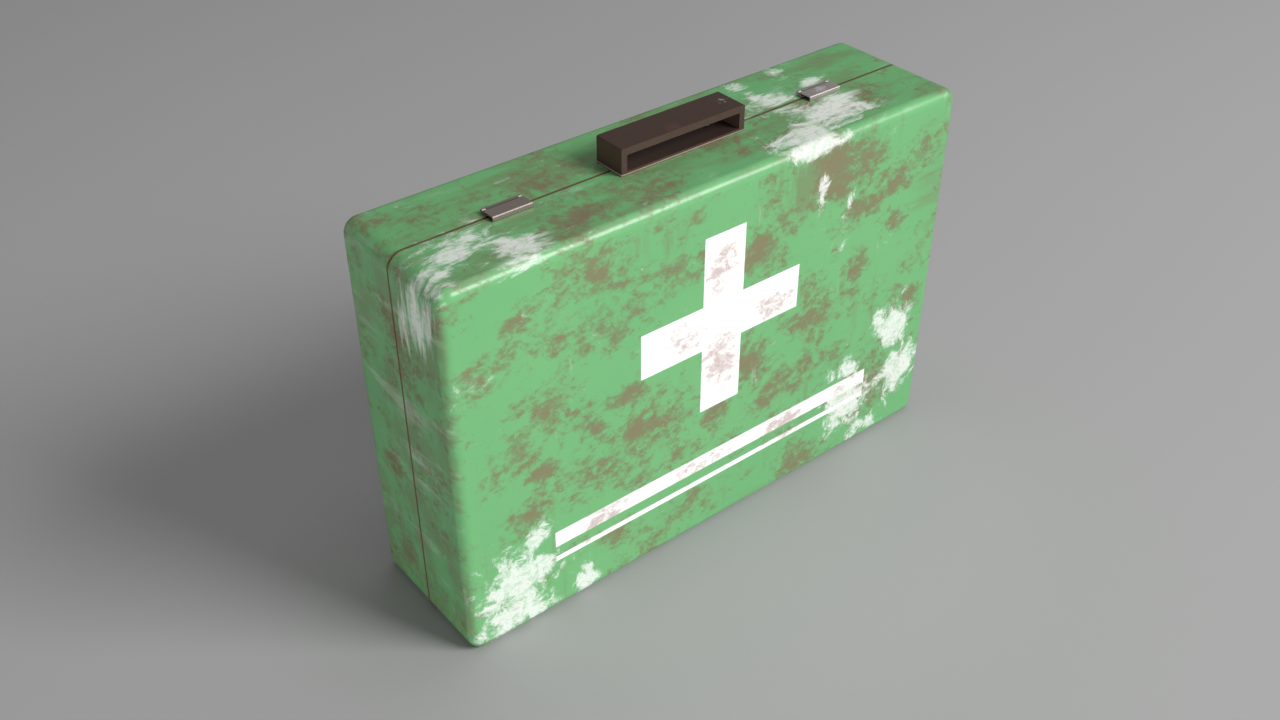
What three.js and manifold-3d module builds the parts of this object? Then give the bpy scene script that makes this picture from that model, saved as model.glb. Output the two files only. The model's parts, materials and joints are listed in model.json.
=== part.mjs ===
// First aid kit: a hard metal case that stands on its hinge side, with a carrying handle and two
// lever latches on top, and its fittings and contents inside. Millimetres, +Z up. The origin is at
// the middle of the base, the lid faces -Y, and +X is to the right of somebody facing the lid.

import * as THREE from 'three';
import { mergeVertices } from 'three/addons/utils/BufferGeometryUtils.js';
import Module from 'manifold-3d';

// Case
const WIDTH = 400;
const DEPTH = 105;
const HEIGHT = 267.5;
const CORNER_R = 10; // corners of the outline, seen from the front
const EDGE_R = 7; // edges round the front and back faces
const WALL = 1.2; // sheet steel
const EDGE_STEPS = 3;
const SEAM_Y = -0.5; // the plane where lid and back half meet
const SEAM_GAP = 1;
const GAP = 0.3; // clearance between pieces that rest on each other
const BACK_EDGE_Y = SEAM_Y + SEAM_GAP / 2;
const LID_EDGE_Y = SEAM_Y - SEAM_GAP / 2;
const INSIDE_X = WIDTH / 2 - WALL;
const INSIDE_TOP = HEIGHT - WALL;
const INSIDE_BACK = DEPTH / 2 - WALL;

// Stiffening rims and the seal between them
const RIM_WIDTH = 8;
const RIM_CORNER_R = 6;
const SEAL_WIDTH = 7;
const SEAL_THICK = 3.4;
const SEAL_FRONT_Y = LID_EDGE_Y + GAP;
const SEAL_BACK_Y = SEAL_FRONT_Y + SEAL_THICK;
const BACK_RIM_Y = SEAL_BACK_Y + GAP;

// Hinges, in a channel across the base
const HINGE_Z = 2.1; // height of the hinge axis
const BARREL_R = 1.8;
const BORE_R = 0.97;
const HINGE_PIN_R = 0.9;
const ROUND_SIDES = 12;
const HINGE_LENGTH = 60;
const HINGE_X = 120;
const KNUCKLES = 5;
const LEAF_THICK = 0.9;
const LEAF_REACH = 9.4; // from the hinge axis to the edge of a leaf
const CHANNEL_HALF = 10;
const CHANNEL_END_X = 187;
const CHANNEL_TOP = HINGE_Z + BARREL_R + GAP + 0.1;
const END_RELIEF_HALF = 3.8;
const RIVET_X = 20; // from the middle of a hinge
const RIVET_Y = 7; // from the hinge axis
const RIVET_R = 1;
const RIVET_HEAD_R = 2;
const RIVET_HEAD = 0.8;

// Latches
const LATCH_X = [-122, 122];
const LATCH_WIDTH = 27;
const LEVER_BACK_WIDTH = 21.4;
const LATCH_PIN_Y = SEAM_Y + 5.2;
const LATCH_PIN_Z = HEIGHT + 1.8;
const LATCH_BARREL_R = 1.25;
const LATCH_BORE_R = 0.67;
const LATCH_PIN_R = 0.6;
const LEVER_PLATE = 0.9;
const LEVER_FRONT_Y = SEAM_Y - 6.5;
const LIP_BOTTOM = HEIGHT + 1.1;
const BRACKET_FRONT_Y = SEAM_Y + 0.8;
const BRACKET_BACK_Y = SEAM_Y + 3.6; // of the plate between the ears
const BRACKET_PLATE = 0.7;
const KEEPER_HALF = 9;
const KEEPER_FRONT_Y = SEAM_Y - 5;
const KEEPER_BACK_Y = SEAM_Y - 1.6;
const KEEPER_PLATE = 0.6;

// Handle
const HANDLE_X = 96;
const HANDLE_Y = SEAM_Y + 2;
const HANDLE_DEPTH = 24;
const HANDLE_RISE = 17.5;
const HANDLE_BAR = 4.6;
const HANDLE_LEG = 4.1;
const HANDLE_BASE = 2;
const HANDLE_CORNER_R = 1.5;
const SCREW_X = 32;
const SCREW_Y = SEAM_Y + 8.2;
const SCREW_R = 2;
const SCREW_HEAD_R = 3.3;
const SCREW_HEAD = 1.4;
const NUT_R = 3.2;
const NUT = 3;
const BACKING = { x: 42, front: SEAM_Y + 5.2, back: SEAM_Y + 15, thick: 1.5 };

// Tray and its contents
const TRAY = { x: 187.5, low: 16, high: 255.5, front: 6.5, back: INSIDE_BACK - GAP, wall: 2 };
const COLUMNS = [-61, 61];
const LEFT_SHELF_Z = 148;
const MIDDLE_SHELF_Z = 122;
const RIGHT_SHELF_Z = 128;
const ROLL_R = 20;
const ROLL_LENGTH = 90;
const ROLL_X = -124;
const GAUZE = { x: 0, z: 70, side: 96, thick: 15 };
const PLASTERS = { x: -124, z: 203, wide: 104, high: 84, thick: 32 };
const TAPE = { x: 156, z: 50, r: 27, core: 14, thick: 26 };
const BOTTLE = { x: 96, z: 18.5, y: 29, r: 19, body: 70, neck: 7.5, neckTop: 87 };
const CAP = { r: 10, topR: 9.4, high: 19 };
const SCISSORS = { x: 14, z: 186, y: 30, thick: 1.8, blade: 52, shank: 34, bow: 12, bowHole: 8 };
const PIVOT = { r: 1.5, headR: 3, head: 0.8 };
const TWEEZERS = { x: -44, low: 136, high: 226, y: 30, deep: 9, belly: 3.2, tip: 1.6, leg: 1 };

// Lid pockets
const STRAP = { x: [-84, 84], width: 25, thick: 1.4, low: 52, high: 222, reach: 18, foot: 12, slope: 5 };
const BANDAGE_PACK = { x0: -148, x1: -38, z0: 66, z1: 146, deep: 15 };
const BLANKET_PACK = { x0: 34, x1: 134, z0: 66, z1: 132, deep: 13 };
const GLOVE_PACK = { x0: 40, x1: 128, z0: 138, z1: 204, deep: 9 };

const wasm = await Module();
wasm.setup();

const kit = new THREE.Group();

const PAINT = { color: 0x5f9a68, roughness: 0.45, metalness: 0.1 };
const DARK_METAL = { color: 0x565050, roughness: 0.5, metalness: 0.7 };
const STEEL = { color: 0x9a9690, roughness: 0.4, metalness: 0.9 };
const RUBBER = { color: 0x2a2a2a, roughness: 0.85, metalness: 0 };
const TRAY_PLASTIC = { color: 0xd8d8d2, roughness: 0.6, metalness: 0 };
const COTTON = { color: 0xf0ede4, roughness: 0.95, metalness: 0 };
const CARD = { color: 0xd9c9a8, roughness: 0.8, metalness: 0 };
const BOTTLE_PLASTIC = { color: 0x8a5a2c, roughness: 0.3, metalness: 0 };
const CAP_PLASTIC = { color: 0xf4f4f2, roughness: 0.4, metalness: 0 };
const WEBBING = { color: 0x24503a, roughness: 0.9, metalness: 0 };
const FOIL = { color: 0xc9ccd0, roughness: 0.25, metalness: 1 };
const NITRILE = { color: 0x5a86b8, roughness: 0.55, metalness: 0 };

// A closed geometry as a solid that can be joined and cut.
function solid(geometry) {
  const bare = geometry.clone();
  bare.deleteAttribute('normal');
  bare.deleteAttribute('uv');
  const merged = mergeVertices(bare, 1e-4);
  const mesh = new wasm.Mesh({
    numProp: 3,
    vertProperties: Float32Array.from(merged.attributes.position.array),
    triVerts: Uint32Array.from(merged.index.array),
  });
  return new wasm.Manifold(mesh);
}

function surface(body) {
  const { vertProperties, triVerts } = body.getMesh();
  const geometry = new THREE.BufferGeometry();
  geometry.setAttribute('position', new THREE.BufferAttribute(vertProperties, 3));
  geometry.setIndex(new THREE.BufferAttribute(triVerts, 1));
  geometry.computeVertexNormals();
  return geometry;
}

function add(name, body, look) {
  const mesh = new THREE.Mesh(surface(body), new THREE.MeshStandardMaterial(look));
  mesh.name = name;
  kit.add(mesh);
}

function slab(x0, x1, y0, y1, z0, z1) {
  const geometry = new THREE.BoxGeometry(x1 - x0, y1 - y0, z1 - z0);
  geometry.translate((x0 + x1) / 2, (y0 + y1) / 2, (z0 + z1) / 2);
  return solid(geometry);
}

// The case's outer shape, or the same shape drawn in by inset: an outline with round corners that
// narrows in a quarter circle towards the front and back faces.
function roundedCase(inset) {
  const edgeR = EDGE_R - inset;
  const loops = [];
  for (const side of [-1, 1]) {
    for (let i = 0; i <= EDGE_STEPS; i += 1) {
      const turn = ((side < 0 ? i : EDGE_STEPS - i) / EDGE_STEPS) * (Math.PI / 2);
      const off = inset + edgeR * (1 - Math.sin(turn));
      const y = side * (DEPTH / 2 - inset - edgeR * (1 - Math.cos(turn)));
      const outline = roundedOutline(-WIDTH / 2 + off, WIDTH / 2 - off, off, HEIGHT - off, CORNER_R - off);
      loops.push(outline.getPoints(2).map((point) => [point.x, y, point.y]));
    }
  }
  const count = loops[0].length;
  const indices = [];
  for (let k = 0; k + 1 < loops.length; k += 1) {
    for (let i = 0; i < count; i += 1) {
      const [a, b] = [k * count + i, k * count + ((i + 1) % count)];
      indices.push(a, b + count, b, a, a + count, b + count);
    }
  }
  const last = (loops.length - 1) * count;
  for (let i = 1; i + 1 < count; i += 1) {
    indices.push(0, i, i + 1, last, last + i + 1, last + i);
  }
  const geometry = new THREE.BufferGeometry();
  geometry.setAttribute('position', new THREE.Float32BufferAttribute(loops.flat(2), 3));
  geometry.setIndex(indices);
  return solid(geometry);
}

// A round bar along X, centred on (x, y, z).
function rodX(radius, length, x, y, z, sides = ROUND_SIDES) {
  const geometry = new THREE.CylinderGeometry(radius, radius, length, sides);
  geometry.rotateZ(Math.PI / 2);
  geometry.translate(x, y, z);
  return solid(geometry);
}

function rodY(radius, length, x, y, z, sides = ROUND_SIDES) {
  const geometry = new THREE.CylinderGeometry(radius, radius, length, sides);
  geometry.translate(x, y, z);
  return solid(geometry);
}

function rodZ(radius, low, high, x, y, sides = ROUND_SIDES) {
  const geometry = new THREE.CylinderGeometry(radius, radius, high - low, sides);
  geometry.rotateX(Math.PI / 2);
  geometry.translate(x, y, (low + high) / 2);
  return solid(geometry);
}

// A turned piece about the vertical line through (x, y). The profile is [radius, z] pairs, from the
// bottom of the axis to its top.
function turned(profile, x, y, sides = ROUND_SIDES) {
  const points = profile.map(([r, z]) => new THREE.Vector2(r, z));
  const geometry = new THREE.LatheGeometry(points, sides);
  geometry.rotateX(Math.PI / 2);
  geometry.translate(x, y, 0);
  return solid(geometry);
}

function roundedOutline(x0, x1, z0, z1, r) {
  const shape = new THREE.Shape();
  shape.absarc(x1 - r, z0 + r, r, -Math.PI / 2, 0);
  shape.absarc(x1 - r, z1 - r, r, 0, Math.PI / 2);
  shape.absarc(x0 + r, z1 - r, r, Math.PI / 2, Math.PI);
  shape.absarc(x0 + r, z0 + r, r, Math.PI, 1.5 * Math.PI);
  return shape;
}

// An outline in X and Z, pushed through from y1 to y0.
function plateY(shape, y0, y1, curveSegments = 4) {
  const geometry = new THREE.ExtrudeGeometry(shape, {
    depth: y1 - y0,
    bevelEnabled: false,
    curveSegments,
  });
  geometry.rotateX(Math.PI / 2);
  geometry.translate(0, y1, 0);
  return solid(geometry);
}

// An outline in Y and Z, pushed through from x0 to x1.
function barX(points, x0, x1) {
  const shape = new THREE.Shape(points.map(([y, z]) => new THREE.Vector2(y, z)));
  const geometry = new THREE.ExtrudeGeometry(shape, { depth: x1 - x0, bevelEnabled: false });
  const turn = new THREE.Matrix4().makeBasis(
    new THREE.Vector3(0, 1, 0),
    new THREE.Vector3(0, 0, 1),
    new THREE.Vector3(1, 0, 0),
  );
  geometry.applyMatrix4(turn);
  geometry.translate(x0, 0, 0);
  return solid(geometry);
}

function joined(first, ...rest) {
  return rest.reduce((sum, piece) => sum.add(piece), first);
}

function cut(body, ...tools) {
  return tools.reduce((left, tool) => left.subtract(tool), body);
}

// One half of the case, open at the seam: walls, a stiffening rim turned inwards round the opening,
// and the roof of the hinge channel across the base.
function caseHalf(y0, y1, rimY0, rimY1) {
  const outside = roundedCase(0);
  const half = slab(-WIDTH, WIDTH, y0, y1, -1, HEIGHT + 1);
  const walls = outside.subtract(roundedCase(WALL));
  const channelReach = CHANNEL_HALF + WALL;
  const channelRoof = slab(
    -WIDTH, WIDTH, SEAM_Y - channelReach, SEAM_Y + channelReach, -1, CHANNEL_TOP + WALL,
  );
  const opening = roundedOutline(
    -INSIDE_X + RIM_WIDTH, INSIDE_X - RIM_WIDTH, CHANNEL_TOP + WALL + RIM_WIDTH, INSIDE_TOP - RIM_WIDTH,
    RIM_CORNER_R,
  );
  const rimPlane = slab(-WIDTH, WIDTH, rimY0, rimY1, -1, HEIGHT + 1);
  const rim = rimPlane.subtract(plateY(opening, rimY0 - 1, rimY1 + 1));
  const filled = joined(walls, outside.intersect(channelRoof), outside.intersect(rim));
  const channel = slab(
    -CHANNEL_END_X, CHANNEL_END_X, SEAM_Y - CHANNEL_HALF, SEAM_Y + CHANNEL_HALF, -2, CHANNEL_TOP,
  );
  const endRelief = slab(-WIDTH, WIDTH, SEAM_Y - END_RELIEF_HALF, SEAM_Y + END_RELIEF_HALF, -2, CHANNEL_TOP);
  return cut(filled.intersect(half), channel, endRelief);
}

function rivetPlaces(side) {
  const places = [];
  for (const hingeX of [-HINGE_X, HINGE_X]) {
    for (const x of [hingeX - RIVET_X, hingeX + RIVET_X]) {
      places.push([x, SEAM_Y + side * RIVET_Y]);
    }
  }
  return places;
}

function screwHoles() {
  return [-SCREW_X, SCREW_X].map((x) => rodZ(SCREW_R + GAP, HEIGHT - 10, HEIGHT + 10, x, SCREW_Y));
}

function addCase() {
  const rivetHoles = (side) =>
    rivetPlaces(side).map(([x, y]) => rodZ(RIVET_R + GAP, 1, CHANNEL_TOP + 3, x, y));
  const back = caseHalf(BACK_EDGE_Y, DEPTH, BACK_RIM_Y, BACK_RIM_Y + WALL);
  add('back_shell', cut(back, ...rivetHoles(1), ...screwHoles()), PAINT);
  const lid = caseHalf(-DEPTH, LID_EDGE_Y, LID_EDGE_Y - WALL, LID_EDGE_Y);
  add('front_shell', cut(lid, ...rivetHoles(-1)), PAINT);
}

function addSeal() {
  const low = CHANNEL_TOP + WALL + GAP;
  const high = INSIDE_TOP - GAP;
  const outer = roundedOutline(-INSIDE_X + GAP, INSIDE_X - GAP, low, high, CORNER_R - WALL);
  const inner = roundedOutline(
    -INSIDE_X + SEAL_WIDTH, INSIDE_X - SEAL_WIDTH, low + SEAL_WIDTH, high - SEAL_WIDTH, RIM_CORNER_R,
  );
  const seal = plateY(outer, SEAL_FRONT_Y, SEAL_BACK_Y);
  add('rim_seal', seal.subtract(plateY(inner, SEAL_FRONT_Y - 1, SEAL_BACK_Y + 1)), RUBBER);
}

// A hinge leaf: a plate under the channel roof with its share of the knuckles. side is 1 for the
// case and -1 for the lid; the case has the odd knuckles.
function hingeLeaf(hingeX, side) {
  const pitch = HINGE_LENGTH / KNUCKLES;
  const plateTop = HINGE_Z + BARREL_R;
  const plateLow = plateTop - LEAF_THICK;
  const clear = BARREL_R + 2 * GAP;
  const ySpan = (near, far) => (side > 0 ? [SEAM_Y + near, SEAM_Y + far] : [SEAM_Y - far, SEAM_Y - near]);
  const half = HINGE_LENGTH / 2;
  let leaf = slab(hingeX - half, hingeX + half, ...ySpan(clear, LEAF_REACH), plateLow, plateTop);
  for (let i = side > 0 ? 0 : 1; i < KNUCKLES; i += 2) {
    const x0 = hingeX - half + i * pitch + GAP / 2;
    const x1 = x0 + pitch - GAP;
    const arm = slab(x0, x1, ...ySpan(0, clear + 1), plateLow, plateTop);
    leaf = joined(leaf, arm, rodX(BARREL_R, x1 - x0, (x0 + x1) / 2, SEAM_Y, HINGE_Z));
  }
  const bore = rodX(BORE_R, HINGE_LENGTH + 2, hingeX, SEAM_Y, HINGE_Z);
  const holes = [-RIVET_X, RIVET_X].map((dx) =>
    rodZ(RIVET_R + GAP, 0, CHANNEL_TOP, hingeX + dx, SEAM_Y + side * RIVET_Y),
  );
  return cut(leaf, bore, ...holes);
}

function rivet(x, y) {
  const leafLow = HINGE_Z + BARREL_R - LEAF_THICK;
  const headTop = leafLow - GAP;
  const tailLow = CHANNEL_TOP + WALL + GAP;
  const profile = [
    [0, headTop - RIVET_HEAD],
    [RIVET_HEAD_R * 0.7, headTop - RIVET_HEAD],
    [RIVET_HEAD_R, headTop],
    [RIVET_R, headTop],
    [RIVET_R, tailLow],
    [RIVET_HEAD_R, tailLow],
    [RIVET_HEAD_R * 0.7, tailLow + RIVET_HEAD],
    [0, tailLow + RIVET_HEAD],
  ];
  return turned(profile, x, y, 8);
}

function addHinges() {
  for (const [end, hingeX] of [['left', -HINGE_X], ['right', HINGE_X]]) {
    add(`hinge_leaf_case_${end}`, hingeLeaf(hingeX, 1), STEEL);
    add(`hinge_leaf_lid_${end}`, hingeLeaf(hingeX, -1), STEEL);
    add(`hinge_pin_${end}`, rodX(HINGE_PIN_R, HINGE_LENGTH, hingeX, SEAM_Y, HINGE_Z), STEEL);
  }
  rivetPlaces(1).forEach(([x, y], i) => add(`hinge_rivet_case_${i + 1}`, rivet(x, y), STEEL));
  rivetPlaces(-1).forEach(([x, y], i) => add(`hinge_rivet_lid_${i + 1}`, rivet(x, y), STEEL));
}

function latchBracket(x) {
  const half = LATCH_WIDTH / 2;
  const earInside = LEVER_BACK_WIDTH / 2 + GAP;
  const low = HEIGHT + GAP;
  const plate = (x0, x1, backY) => slab(x0, x1, BRACKET_FRONT_Y, backY, low, low + BRACKET_PLATE);
  const barrel = (x0, x1) => rodX(LATCH_BARREL_R, x1 - x0, (x0 + x1) / 2, LATCH_PIN_Y, LATCH_PIN_Z);
  const ear = (x0, x1) => joined(plate(x0, x1, LATCH_PIN_Y), barrel(x0, x1));
  const body = joined(
    plate(x - half, x + half, BRACKET_BACK_Y),
    ear(x - half, x - earInside),
    ear(x + earInside, x + half),
  );
  return body.subtract(rodX(LATCH_BORE_R, LATCH_WIDTH + 2, x, LATCH_PIN_Y, LATCH_PIN_Z));
}

function latchLever(x) {
  const half = LATCH_WIDTH / 2;
  const backHalf = LEVER_BACK_WIDTH / 2;
  const plateTop = LATCH_PIN_Z + LATCH_BARREL_R;
  const plateLow = plateTop - LEVER_PLATE;
  const shoulderY = LATCH_PIN_Y - LATCH_BARREL_R - 2 * GAP;
  const profile = [
    [LEVER_FRONT_Y, LIP_BOTTOM],
    [LEVER_FRONT_Y + LEVER_PLATE, LIP_BOTTOM],
    [LEVER_FRONT_Y + LEVER_PLATE, plateLow],
    [shoulderY, plateLow],
    [shoulderY, plateTop],
    [LEVER_FRONT_Y, plateTop],
  ];
  const plate = barX(profile, x - half, x + half);
  const neck = slab(x - backHalf, x + backHalf, shoulderY - 1, LATCH_PIN_Y, plateLow, plateTop);
  const barrel = rodX(LATCH_BARREL_R, LEVER_BACK_WIDTH, x, LATCH_PIN_Y, LATCH_PIN_Z);
  const bore = rodX(LATCH_BORE_R, LATCH_WIDTH, x, LATCH_PIN_Y, LATCH_PIN_Z);
  return joined(plate, neck, barrel).subtract(bore);
}

function addLatches() {
  ['left', 'right'].forEach((end, i) => {
    const x = LATCH_X[i];
    add(`latch_bracket_${end}`, latchBracket(x), DARK_METAL);
    add(`latch_lever_${end}`, latchLever(x), DARK_METAL);
    add(`latch_pin_${end}`, rodX(LATCH_PIN_R, LATCH_WIDTH, x, LATCH_PIN_Y, LATCH_PIN_Z), STEEL);
    const low = HEIGHT + GAP;
    const keeper = slab(
      x - KEEPER_HALF, x + KEEPER_HALF, KEEPER_FRONT_Y, KEEPER_BACK_Y, low, low + KEEPER_PLATE,
    );
    add(`latch_keeper_${end}`, keeper, STEEL);
  });
}

function addHandle() {
  const low = HEIGHT + GAP;
  const top = HEIGHT + HANDLE_RISE;
  const half = HANDLE_X / 2;
  const y0 = HANDLE_Y - HANDLE_DEPTH / 2;
  const y1 = HANDLE_Y + HANDLE_DEPTH / 2;
  const outside = roundedOutline(-half, half, low, top, HANDLE_CORNER_R);
  const window = roundedOutline(
    -half + HANDLE_LEG, half - HANDLE_LEG, low + HANDLE_BASE, top - HANDLE_BAR, HANDLE_CORNER_R / 2,
  );
  const ring = plateY(outside, y0, y1).subtract(plateY(window, y0 - 1, y1 + 1));
  add('handle_grip', cut(ring, ...screwHoles()), DARK_METAL);

  const headLow = low + HANDLE_BASE + GAP;
  const plateLow = INSIDE_TOP - GAP - BACKING.thick;
  const plate = slab(-BACKING.x, BACKING.x, BACKING.front, BACKING.back, plateLow, INSIDE_TOP - GAP);
  add('handle_backing_plate', cut(plate, ...screwHoles()), STEEL);
  for (const [end, x] of [['left', -SCREW_X], ['right', SCREW_X]]) {
    const nutHigh = plateLow - GAP;
    const nutLow = nutHigh - NUT;
    const tip = nutLow - 2 * GAP;
    const profile = [
      [0, tip],
      [SCREW_R, tip],
      [SCREW_R, headLow],
      [SCREW_HEAD_R, headLow],
      [SCREW_HEAD_R * 0.6, headLow + SCREW_HEAD],
      [0, headLow + SCREW_HEAD],
    ];
    add(`handle_screw_${end}`, turned(profile, x, SCREW_Y), STEEL);
    const bore = rodZ(SCREW_R + 0.1, nutLow - 1, nutHigh + 1, x, SCREW_Y);
    add(`handle_nut_${end}`, rodZ(NUT_R, nutLow, nutHigh, x, SCREW_Y, 6).subtract(bore), STEEL);
  }
}

// Open-fronted tray: three columns, each with a shelf.
function addTray() {
  const { x, low, high, front, back, wall } = TRAY;
  const pocket = (x0, x1, z0, z1) => slab(x0, x1, front - 1, back - wall, z0, z1);
  const h = wall / 2;
  const edges = [-x + h, ...COLUMNS, x - h];
  const shelves = [LEFT_SHELF_Z, MIDDLE_SHELF_Z, RIGHT_SHELF_Z];
  const pockets = shelves.flatMap((shelf, i) => [
    pocket(edges[i] + h, edges[i + 1] - h, low + wall, shelf - h),
    pocket(edges[i] + h, edges[i + 1] - h, shelf + h, high - wall),
  ]);
  add('insert_tray', cut(slab(-x, x, front, back, low, high), ...pockets), TRAY_PLASTIC);
}

function addDressings() {
  const middleY = (TRAY.front + TRAY.back - TRAY.wall) / 2;
  const floor = TRAY.low + TRAY.wall;
  for (let i = 0; i < 3; i += 1) {
    const z = floor + GAP + ROLL_R + i * (2 * ROLL_R + 1);
    add(`bandage_roll_${i + 1}`, rodX(ROLL_R, ROLL_LENGTH, ROLL_X, middleY + 1, z, 16), COTTON);
  }
  const half = GAUZE.side / 2;
  ['a', 'b'].forEach((end, i) => {
    const y1 = TRAY.back - TRAY.wall - GAP - i * (GAUZE.thick + 1);
    const gauze = slab(
      GAUZE.x - half, GAUZE.x + half, y1 - GAUZE.thick, y1, GAUZE.z - half, GAUZE.z + half,
    );
    add(`gauze_pack_${end}`, gauze, COTTON);
  });
  const { x, z, wide, high, thick } = PLASTERS;
  const boxBack = TRAY.back - TRAY.wall - GAP;
  add(
    'plaster_box',
    slab(x - wide / 2, x + wide / 2, boxBack - thick, boxBack, z - high / 2, z + high / 2),
    CARD,
  );
  const tapeBack = boxBack - TAPE.thick;
  const tapeY = (tapeBack + boxBack) / 2;
  const tape = rodY(TAPE.r, TAPE.thick, TAPE.x, tapeY, TAPE.z, 20);
  add('tape_roll', tape.subtract(rodY(TAPE.core, TAPE.thick + 2, TAPE.x, tapeY, TAPE.z, 16)), COTTON);
}

function addBottle() {
  const { x, y, z, r, body, neck, neckTop } = BOTTLE;
  const profile = [
    [0, z],
    [r - 2, z],
    [r, z + 2],
    [r, z + body - 6],
    [neck + 3, z + body],
    [neck, z + body + 1],
    [neck, z + neckTop],
    [0, z + neckTop],
  ];
  add('antiseptic_bottle', turned(profile, x, y, 16), BOTTLE_PLASTIC);
  const capLow = z + body + 1 + 2 * GAP;
  const capHigh = capLow + CAP.high;
  const cap = turned([[0, capLow], [CAP.r, capLow], [CAP.topR, capHigh], [0, capHigh]], x, y, 16);
  const socket = rodZ(neck + GAP, capLow - 1, z + neckTop + GAP, x, y, 16);
  add('bottle_cap', cap.subtract(socket), CAP_PLASTIC);
}

// Half of the scissors: a tapered blade above the pivot, and a shank and finger bow below it. side is
// 1 with the bow to the right and -1 with the bow to the left.
function scissorHalf(side, y0) {
  const { x, z, thick, blade, shank, bow, bowHole } = SCISSORS;
  const outline = new THREE.Shape();
  const at = (u, v) => [x + side * u, z + v];
  outline.moveTo(...at(-4, 0));
  outline.lineTo(...at(-4.5, blade * 0.4));
  outline.lineTo(...at(-0.6, blade));
  outline.lineTo(...at(1.2, blade));
  outline.lineTo(...at(2.5, 0));
  outline.lineTo(...at(bow - 1, -shank));
  outline.lineTo(...at(bow - 6, -shank - 2));
  outline.closePath();
  const y1 = y0 + thick;
  const arm = plateY(outline, y0, y1);
  const bowX = x + side * (bow + 1.5);
  const bowZ = z - shank - bow + 1;
  const ring = rodY(bow, thick, bowX, (y0 + y1) / 2, bowZ, 16);
  const finger = rodY(bowHole, thick + 2, bowX, (y0 + y1) / 2, bowZ, 16);
  const pivotHole = rodY(PIVOT.r + 0.1, thick + 2, x, (y0 + y1) / 2, z);
  return cut(joined(arm, ring), finger, pivotHole);
}

function addInstruments() {
  const { x, z, y, thick } = SCISSORS;
  add('scissor_blade_fixed', scissorHalf(1, y), STEEL);
  add('scissor_blade_moving', scissorHalf(-1, y - thick - GAP), STEEL);
  const front = y - thick - 2 * GAP;
  const back = y + thick + GAP;
  const shank = rodY(PIVOT.r, back - front, x, (front + back) / 2, z);
  const head = rodY(PIVOT.headR, PIVOT.head, x, front - PIVOT.head / 2, z);
  const tail = rodY(PIVOT.headR, PIVOT.head, x, back + PIVOT.head / 2, z);
  add('scissor_pivot', joined(shank, head, tail), STEEL);
  addTweezers();
}

// Two sprung legs, joined at the top, that bow out in the middle and meet near the tips.
function addTweezers() {
  const { x, low, high, y, deep, belly, tip, leg } = TWEEZERS;
  const bellyZ = low + 0.45 * (high - low);
  const half = [
    [tip - leg, low],
    [tip, low],
    [belly, bellyZ],
    [leg, high],
  ];
  const outline = [
    ...half,
    ...half.slice(1).reverse().map(([u, z]) => [-u, z]),
    [leg - tip, low],
    [leg - belly, bellyZ],
    [0, high - 8],
    [belly - leg, bellyZ],
  ];
  const shape = new THREE.Shape(outline.map(([u, z]) => new THREE.Vector2(x + u, z)));
  add('tweezers', plateY(shape, y, y + deep), STEEL);
}

function addLidPockets() {
  const wallY = -INSIDE_BACK + GAP;
  const { x, width, thick, low, high, reach, foot, slope } = STRAP;
  const outY = wallY + reach;
  const profile = [
    [wallY, low - foot],
    [wallY + thick, low - foot],
    [wallY + thick, low],
    [outY, low + slope],
    [outY, high - slope],
    [wallY + thick, high],
    [wallY + thick, high + foot],
    [wallY, high + foot],
    [wallY, high - thick],
    [outY - thick, high - slope - thick],
    [outY - thick, low + slope + thick],
    [wallY, low + thick],
  ];
  ['left', 'right'].forEach((end, i) => {
    add(`lid_strap_${end}`, barX(profile, x[i] - width / 2, x[i] + width / 2), WEBBING);
  });
  const packs = [
    ['triangular_bandage', BANDAGE_PACK, COTTON],
    ['foil_blanket', BLANKET_PACK, FOIL],
    ['gloves_pack', GLOVE_PACK, NITRILE],
  ];
  for (const [name, { x0, x1, z0, z1, deep }, look] of packs) {
    add(name, slab(x0, x1, wallY, wallY + deep, z0, z1), look);
  }
}

addCase();
addSeal();
addHinges();
addLatches();
addHandle();
addTray();
addDressings();
addBottle();
addInstruments();
addLidPockets();

export default kit;
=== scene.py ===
import json
import math
import random

import bmesh
import bpy
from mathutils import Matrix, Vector


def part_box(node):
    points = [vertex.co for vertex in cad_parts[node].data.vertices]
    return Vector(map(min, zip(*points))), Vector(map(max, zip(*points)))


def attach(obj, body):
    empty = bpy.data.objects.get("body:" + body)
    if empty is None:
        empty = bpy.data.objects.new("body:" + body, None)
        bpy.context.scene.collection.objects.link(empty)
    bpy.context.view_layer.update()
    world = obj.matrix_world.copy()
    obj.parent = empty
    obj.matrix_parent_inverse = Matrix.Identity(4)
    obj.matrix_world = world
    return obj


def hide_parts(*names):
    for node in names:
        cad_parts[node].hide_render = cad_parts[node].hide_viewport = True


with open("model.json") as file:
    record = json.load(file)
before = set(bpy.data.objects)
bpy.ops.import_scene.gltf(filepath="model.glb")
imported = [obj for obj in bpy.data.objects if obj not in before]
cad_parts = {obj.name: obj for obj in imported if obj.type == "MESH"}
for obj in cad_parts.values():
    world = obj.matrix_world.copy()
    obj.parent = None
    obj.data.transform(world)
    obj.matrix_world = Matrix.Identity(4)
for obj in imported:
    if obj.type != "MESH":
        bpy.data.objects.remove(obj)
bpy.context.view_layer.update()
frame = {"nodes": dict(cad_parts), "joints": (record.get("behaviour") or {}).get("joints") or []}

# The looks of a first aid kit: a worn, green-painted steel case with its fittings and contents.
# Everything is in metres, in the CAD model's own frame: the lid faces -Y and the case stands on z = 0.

MM = 0.001

# ---------------------------------------------------------------------------------------------
# Sizes taken from the frame
# ---------------------------------------------------------------------------------------------


def node_box(node):
    """The low and high corners of a node's box."""
    return [Vector(c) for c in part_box(node)]


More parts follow.
